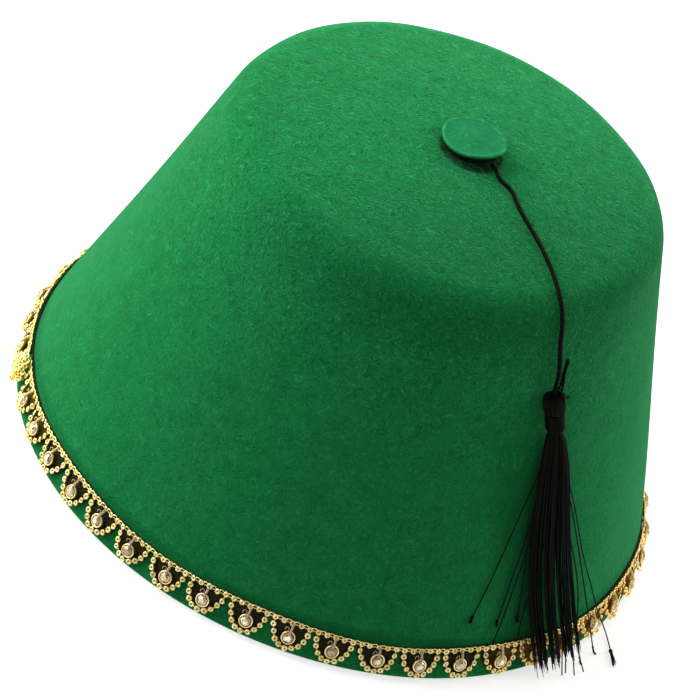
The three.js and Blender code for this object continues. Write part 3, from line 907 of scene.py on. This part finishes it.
# The button's radius at each height, from the middle below, round its side and over its top.
BUTTON_PROFILE = [
    (0.4, 0.0), (4, 0.0), (8.0, 0.0), (8.7, 0.1), (8.95, 0.4), (9.0, 1.1), (9.05, 1.7), (9.2, 2.05),
    (9.35, 2.25), (9.55, 2.5), (9.6, 2.75), (9.5, 2.98), (9.2, 3.1), (8.8, 3.08), (8.2, 2.96), (7.2, 2.93),
    (6.0, 3.0), (4.8, 3.1), (3.2, 3.2), (1.6, 3.26), (0.4, 3.28),
]
# Heights between which its side, painted dark as shade, turns into its top, and its side's radius as a part of
# the profile's.
BUTTON_SIDE, BUTTON_EDGE = 1.9, 2.5
SIDE_PART = 0.985


def make_button(finish):
    """A padded disc of felt: drawn in below, a firm edge above, nearly flat on top with a faint lump.
    Its shade value rises from 0 at its side, which the finish paints dark as shade, to 1 along the pulled rim."""
    form = turned(BUTTON_PROFILE, 96)
    x, y, z = form.points.T
    turn, radius = np.arctan2(y, x), np.hypot(x, y)
    uneven = SIDE_PART + 0.016 * np.sin(2 * turn) + 0.024 * np.cos(3 * turn) + 0.016 * np.sin(4 * turn + 2.3)
    uneven = np.where(z > BUTTON_SIDE, uneven, SIDE_PART)
    pulled = np.clip(1 - np.abs(radius - 9.15) / 0.75, 0, 1) * (z > 2.9)
    form.shade = np.interp(z, [BUTTON_SIDE, BUTTON_EDGE], [0.0, 0.5]) + 0.5 * pulled
    lump = 0.10 * np.sin(0.6 * x + 1) * np.cos(0.5 * y)
    lump = lump * np.clip(z - 2, 0, 1) * np.clip(1 - radius / 10.5, 0, 1)
    form.points = places(x * uneven, y * uneven, z + lump)
    top = outline(math.hypot(*BUTTON_PLACE), 0.0)[1]
    hinge = Vector((math.sin(BUTTON_RAISED), -math.cos(BUTTON_RAISED), 0))
    tilt = np.array(Matrix.Rotation(BUTTON_TILT, 3, hinge)).T[None]
    seat = np.array([[*BUTTON_PLACE, top + BUTTON_GAP + BUTTON_RADIUS * math.sin(BUTTON_TILT)]])
    make_piece("felt_button", form.copies(seat, tilt), finish, ["crown_button"])


# Trim: heights up the felt from the rim, lifts off it, all for the middle of a bead.
ROW_HEIGHT = 9.5
SCALLOP_WIDE = 5.3
SCALLOP_DEEP = 7.45
SCALLOP_BEADS = 10
BEAD_MAJOR = 0.57
BEAD_MINOR = 0.34
ROW_LIFT = 1.1
FOOT_LIFT = 1.85
ROW_BEADS = 5
CUP_HEIGHT = 5.3
BAND_TOP = 10.6
SEWN_WAVE = 0.45
SEWN_WAVE_PITCH = 43
DULL_STONES = (5, 10)
END_LIFT = 1.1
END_LIFT_REACH = 6
FIRST = FIRST_STONE - PITCH
LAST = FIRST_STONE + STONES * PITCH
WIDTH = math.radians(PITCH) * RIM
BEAD_SPACING = WIDTH / ROW_BEADS
# The knot of beads over the strip's sewn ends: its middle, half width and height, lift at its edge, and dome.
KNOT_AZIMUTH = LAST - 360 - 0.7
KNOT_HEIGHT = 6.6
KNOT_WIDE, KNOT_HIGH = 4.3, 4.0
KNOT_LIFT, KNOT_DOME = 2.2, 2.0
KNOT_BEADS = 48
KNOT_TURN = 2.4
# Threads: over the row, along the row and round the scallops.
OVER_WIDE, OVER_HIGH, OVER_THREAD = 0.85, 0.62, 0.2
ROW_THREAD = 0.24
SCALLOP_THREAD = 0.26
SCALLOP_POINTS = 24


def end_lift(azimuth):
    """The strip's last end rises smoothly over the first."""
    part = np.clip((azimuth - (LAST - END_LIFT_REACH)) / (END_LIFT_REACH - 1), 0, 1)
    return END_LIFT * part * part * (3 - 2 * part)


def bead_lift(azimuth, height):
    """How far a bead's middle lies off the felt: most at a scallop's foot, and more at the strip's end."""
    return ROW_LIFT + (FOOT_LIFT - ROW_LIFT) * (ROW_HEIGHT - height) / SCALLOP_DEEP + end_lift(azimuth)


def on_strip(azimuth, height, lift):
    """A place on the strip, which strays up and down in a slow wave, less so nearer to the rim."""
    crest = np.cos(2 * math.pi * (np.asarray(azimuth) + 90) / SEWN_WAVE_PITCH)
    return on_felt(azimuth, RIM_REACH - height * (1 + SEWN_WAVE * crest / BAND_TOP), lift)


def strip_frames(azimuth, height, lift):
    """Places on the strip, height up from the rim, with axes round the rim, up the felt and off it."""
    origins = on_strip(azimuth, height, lift)
    off = side_normal(origins)
    turn = np.radians(np.broadcast_to(azimuth, origins.shape[:-1]))
    around = places(-np.sin(turn), np.cos(turn), 0.0)
    return origins, np.stack([around, np.cross(off, around), off], -2)


def scallop_line(count):
    """Points at equal distances round the lower half of an ellipse, from the row down and up to it."""
    turn = np.linspace(math.pi, 2 * math.pi, 400)
    line = places(SCALLOP_WIDE * np.cos(turn), ROW_HEIGHT + SCALLOP_DEEP * np.sin(turn), 0.0)
    return evenly(line, count)[:, :2]


def strip_azimuth(numbers, across):
    """Azimuth at a distance across from the middle of the numbered scallop."""
    return FIRST_STONE + numbers * PITCH + np.degrees(across / RIM)


def strip(flat):
    """Azimuth and height of flat places in every scallop, but only the inner halves of the cut ones."""
    azimuth = strip_azimuth(np.arange(-1, STONES + 1)[:, None], flat[:, 0])
    height = np.broadcast_to(flat[:, 1], azimuth.shape)
    kept = (azimuth >= FIRST - 0.1) & (azimuth <= LAST + 0.1)
    return azimuth[kept], height[kept]


def row_places(first, height):
    """Flat places a bead apart along the row, the first one that many beads from the scallop's middle."""
    return np.stack([(np.arange(ROW_BEADS) + first) * BEAD_SPACING, np.full(ROW_BEADS, height)], -1)


def sagged(azimuth, height):
    """Each scallop's foot hangs a little to one side, and all of it follows."""
    number = np.round((azimuth - FIRST_STONE) / PITCH).astype(int)
    lean = 0.32 * np.sin(2.3 * number + 0.7)
    return azimuth + np.degrees(lean * (ROW_HEIGHT - height) / SCALLOP_DEEP / RIM)


def sewn_beads():
    """The row's beads and the scallops', each a little out of place and turned."""
    flat = np.concatenate([row_places(-2, ROW_HEIGHT), scallop_line(SCALLOP_BEADS + 1)[1:-1]])
    azimuth, height = strip(flat)
    count = len(azimuth)
    azimuth = sagged(azimuth, height) + rng.normal(0, 0.045, count)
    height = height + rng.normal(0, 0.07, count)
    lift = bead_lift(azimuth, height) + rng.normal(0, 0.06, count)
    origins, axes = strip_frames(azimuth, height, lift)
    size = rng.uniform(0.95, 1.06, (count, 1, 1))
    axes = tilts(count, 0.20, 0.20) @ axes * size
    shade = np.clip(0.2 + 0.6 * rng.random(count) + 0.2 * np.cos(np.radians(azimuth + 120)), 0, 1)
    return ring_bead().copies(origins, axes, shade)


def end_knot():
    """Beads bunched where the strip's ends are sewn together: a spiral laid over a low dome."""
    part = (np.arange(KNOT_BEADS) + 0.5) / KNOT_BEADS
    turn = np.arange(KNOT_BEADS) * KNOT_TURN
    height = KNOT_HEIGHT + KNOT_HIGH * np.sqrt(part) * np.sin(turn)
    azimuth = KNOT_AZIMUTH + np.degrees(KNOT_WIDE * np.sqrt(part) * np.cos(turn) / RIM)
    origins, axes = strip_frames(azimuth, height, KNOT_LIFT + KNOT_DOME * (1 - part))
    return ring_bead().copies(origins, tilts(KNOT_BEADS, 0.5, 0.5) @ axes, rng.random(KNOT_BEADS))


def thread_loops():
    """Over each gap of the row, half a turn of thin thread from bead to bead."""
    azimuth, height = strip(row_places(-1.5, ROW_HEIGHT + 0.15))
    count = len(azimuth)
    turn = np.linspace(-0.25, math.pi + 0.25, 9)
    line = places(OVER_WIDE * np.cos(turn), OVER_HIGH * np.sin(turn), -0.1 * np.sin(turn))
    loop = tube(line, OVER_THREAD, 5, np.array([0, 0, 1.0]))
    origins, axes = strip_frames(azimuth, height, bead_lift(azimuth, height) + 0.1)
    return loop.copies(origins, tilts(count, 0.08, 0.08, 0.06) @ axes, 0.6 + 0.4 * rng.random(count))


def backing_threads():
    """The threads in the beads: one along the row, and one round each scallop, whole or cut."""
    degrees = np.linspace(FIRST, LAST, 720)
    row = on_strip(degrees, ROW_HEIGHT - 0.15, bead_lift(degrees, ROW_HEIGHT) - 0.2)
    form = tube(row, ROW_THREAD, 5, side_normal(row), np.array([0.2]))
    flat, half = scallop_line(SCALLOP_POINTS), SCALLOP_POINTS // 2
    for numbers, kept in ((range(STONES), flat), ([-1], flat[half:]), ([STONES], flat[:half])):
        azimuth, height = strip_azimuth(np.array(numbers)[:, None], kept[:, 0]), kept[:, 1]
        lines = on_strip(sagged(azimuth, height), height, bead_lift(azimuth, height) - 0.35)
        form = form + tube(lines, SCALLOP_THREAD, 5, side_normal(lines), np.full(len(numbers), 0.2))
    return form


# The cup's wall: up the outside, over a bright rim, down into a groove round the stone.
CUP_PROFILE = [
    (0.3, 0.9), (1.4, 0.9), (1.95, 1.15), (2.1, 1.6), (2.08, 1.95), (1.95, 2.12), (1.76, 2.1),
    (1.62, 1.92), (1.58, 1.7), (1.3, 1.6), (0.3, 1.6),
]
# The stone's rows of corners, from its back to its table: radius, height, and turn in facets.
STONE_ROWS = [
    (0.4, 1.55, 0), (1.5, 1.7, 0), (1.5, 2.0, 0), (1.22, 2.4, 0.5), (0.76, 2.72, 0), (0.05, 2.75, 0),
]
STONE_SIDES = 8
# What the cups hang in: a twisted thread, and a thinner one that strays beside it.
LINK_RADIUS = 0.42
LINK_TWIST = 1.5
STRAY_RADIUS = 0.12


def cut_stone():
    """Flat facets between the rows of corners, each of them cut into two triangles."""
    radius, height, turn = np.array(STONE_ROWS).T[..., None]
    form = skin(round_z(radius, (np.arange(STONE_SIDES) + turn) * 2 * math.pi / STONE_SIDES, height))
    split = np.concatenate([form.quads[:, [0, 1, 2]], form.quads[:, [0, 2, 3]]])
    return Form(form.points, np.zeros((0, 4), int), np.concatenate([split, form.tris]), form.shade)


def painted_facet_reflections():
    """A painted reflection for each triangle of each stone: dark at the back, mixed at the crown, a bright
    painted highlight at the table.
    """
    back = np.full((STONES, 2 * STONE_SIDES), 0.1)
    crown = rng.uniform(0.0, 0.9, (STONES, 2 * STONE_SIDES))
    table = np.repeat(rng.uniform(0.6, 1, (STONES, 1)), STONE_SIDES, 1)
    facets = np.concatenate([back, crown, table], 1)
    shades = np.concatenate([facets, facets, back[:, :STONE_SIDES], table], 1)
    shades[list(DULL_STONES)] = 0.2
    return shades


def stone_link():
    """A quarter of an arch of twisted thread, from the row over the cup's edge, and the stray one."""
    facing = np.array([0, 0, 1.0])
    up = np.linspace(ROW_HEIGHT + 0.2, CUP_HEIGHT + 1.15, 12) - CUP_HEIGHT
    arch = places(0.0, up, 1.35 + 1.15 * np.sin(np.linspace(0, math.pi / 2, 12)))
    turn = np.linspace(-0.5, 4.1, 14)
    stray = places(-1.25 - 0.55 * np.cos(turn), 2.3 + 0.75 * np.sin(turn), 1.95 + 0.15 * np.sin(2 * turn))
    return twisted(arch, LINK_RADIUS, 2, LINK_TWIST, 6, facing) + tube(stray, STRAY_RADIUS, 4, facing)


def make_stones(gold, stone, beige):
    """In each whole scallop a cup with a stone, a little out of place and turned, and its link."""
    azimuth = sagged(FIRST_STONE + np.arange(STONES) * PITCH, CUP_HEIGHT) + rng.normal(0, 0.12, STONES)
    height = CUP_HEIGHT + rng.normal(0, 0.2, STONES)
    origins, axes = strip_frames(azimuth, height, 0.2 + end_lift(azimuth))
    axes = tilts(STONES, 0.04, 0.04, 0.5) @ axes
    cups = turned(CUP_PROFILE, 20).copies(origins, axes, rng.uniform(0.6, 1, STONES))
    make_piece("stone_cups", cups, gold, ())
    make_piece("stones", cut_stone().copies(origins, axes), stone, facets=painted_facet_reflections())
    origins, axes = strip_frames(azimuth, CUP_HEIGHT, end_lift(azimuth))
    axes = tilts(STONES, 0.0, 0.0, 0.07) @ axes
    make_piece("stone_links", stone_link().copies(origins, axes), beige, ())


def make_trim(gold, stone, beige):
    """Ring beads in a row and in scallops, the threads on them, and cups with stones hanging in them."""
    make_piece("ring_beads", sewn_beads() + end_knot(), gold, ["gold_trim"])
    make_piece("bead_threads", thread_loops() + backing_threads(), gold, ())
    make_stones(gold, stone, beige)


# Net: lifts of its back and face, heights of its foot, corners and top, the gap at its sides, and its rows of
# points, as parts of the way from its middle to its edge.
NET_BACK, NET_FACE = 0.0, 0.6
NET_FOOT, NET_CORNER, NET_TOP = 1.8, 8.8, 9.5
NET_GAP = 0.45
NET_MIDDLE = np.array([0, 6.2])
NET_PARTS = [0.02, 0.35, 0.7, 1.0]
TAPE_HEIGHT = 10.0
TAPE_RADIUS = 0.3
TAPE_SIDES = 6
TAPE_POINTS = 480


def net_border():
    """The edge of one sheet: a half ellipse below, and straight sides and top."""
    across, up = np.linspace(-1, 1, 17), np.linspace(0, 1, 8)[:, None]
    foot = NET_CORNER - (NET_CORNER - NET_FOOT) * np.sqrt(np.maximum(1 - across**2, 0))
    sheet = np.stack([(WIDTH / 2 - NET_GAP) * across + 0 * up, foot + (NET_TOP - foot) * up], -1)
    return np.concatenate([sheet[0], sheet[1:, -1], sheet[-1, -2::-1], sheet[-2:0:-1, 0]])


def unrolled_places(azimuth, height):
    """Millimetres round the rim and up the strip."""
    return np.stack(np.broadcast_arrays(azimuth * math.radians(1) * RIM, height), -1).reshape(-1, 2)


def make_net(finish):
    """Behind each scallop a thin sheet, from its edge up to the row, and behind the row a round dark tape."""
    border = net_border()
    rows = [(part, NET_BACK) for part in NET_PARTS] + [(part, NET_FACE) for part in NET_PARTS[::-1]]
    flat = np.stack([NET_MIDDLE + part * (border - NET_MIDDLE) for part, lift in rows])
    lift = np.array([lift for part, lift in rows])[:, None]
    numbers = np.arange(STONES)
    azimuth = strip_azimuth(numbers[:, None, None], flat[..., 0])
    sheets = skin(on_strip(azimuth, flat[..., 1], lift))
    middles = unrolled_places(FIRST_STONE + numbers * PITCH, NET_MIDDLE[1])
    degrees = np.linspace(FIRST, LAST - 1.5, TAPE_POINTS)
    line = on_strip(degrees, TAPE_HEIGHT, TAPE_RADIUS)
    tape = tube(line, TAPE_RADIUS, TAPE_SIDES, side_normal(line))
    along = np.r_[np.repeat(degrees, TAPE_SIDES), degrees[[0, -1]]]
    unrolled = [unrolled_places(azimuth, flat[..., 1]), middles, middles, unrolled_places(along, TAPE_HEIGHT)]
    unrolled = np.concatenate(unrolled)
    make_piece("net_backing", sheets + tape, finish, ["trim_net"], unrolled=unrolled)


# Studio, in metres. Each lamp has an azimuth and a rise in degrees, and a power in watts.
FLOOR_HALF = 3.0
LAMPS = [("left_lamp", 180, 25, 10.2), ("left_back_lamp", 145, 28, 6.7), ("right_back_lamp", 35, 28, 5.1)]
LAMP_DISTANCE = 1.0
LAMP_SIZE = 0.9
HAT_MIDDLE = Vector((0, 0, 0.06))
SKY_STRENGTH = 0.46
FLOOR_GREYS = (0.66, 0.66, 0.66), (0.68, 0.68, 0.68)


def soft_light(name, azimuth, rise, power):
    """A square lamp that looks at the hat's middle."""
    lamp = bpy.data.lights.new(name, "AREA")
    lamp.size = LAMP_SIZE
    lamp.energy = power
    holder = bpy.data.objects.new(name, lamp)
    a, e = math.radians(azimuth), math.radians(rise)
    back = Vector((math.cos(a) * math.cos(e), math.sin(a) * math.cos(e), math.sin(e)))
    holder.location = back * LAMP_DISTANCE + HAT_MIDDLE
    holder.rotation_euler = back.to_track_quat("Z", "Y").to_euler()
    holder.visible_camera = False
    bpy.context.scene.collection.objects.link(holder)


def make_floor():
    """A pale square that glows a little."""
    mesh = bpy.data.meshes.new("floor")
    corners = [(x * FLOOR_HALF, y * FLOOR_HALF, 0) for x, y in ((-1, -1), (1, -1), (1, 1), (-1, 1))]
    mesh.from_pydata(corners, [], [(0, 1, 2, 3)])
    floor = bpy.data.objects.new("floor", mesh)
    bpy.context.scene.collection.objects.link(floor)
    finish = Finish("pale_floor")
    colour = finish.mix(finish.grain(0.01, 2, 0.5), *FLOOR_GREYS)
    mesh.materials.append(
        finish.surface(Base_Color=colour, Roughness=0.9, Emission_Color=(1, 1, 1, 1), Emission_Strength=0.60)
    )
    floor.visible_diffuse = False


def make_studio():
    """The floor, a weak even sky, and soft lamps at the left, the left back and the right back."""
    make_floor()
    world = bpy.data.worlds.new("studio")
    world.use_nodes = True
    sky = world.node_tree.nodes["Background"]
    sky.inputs["Color"].default_value = (1, 1, 1, 1)
    sky.inputs["Strength"].default_value = SKY_STRENGTH
    bpy.context.scene.world = world
    for lamp in LAMPS:
        soft_light(*lamp)
    bpy.context.scene.view_settings.view_transform = "Standard"


place_camera()
silk = silk_finish()
tassel_pieces = make_tassel(silk)
make_cord(silk)
make_crown(crown_finish())
make_button(button_finish())
make_trim(gold_finish(), stone_finish(), hanger_finish())
make_net(net_finish())
make_studio()
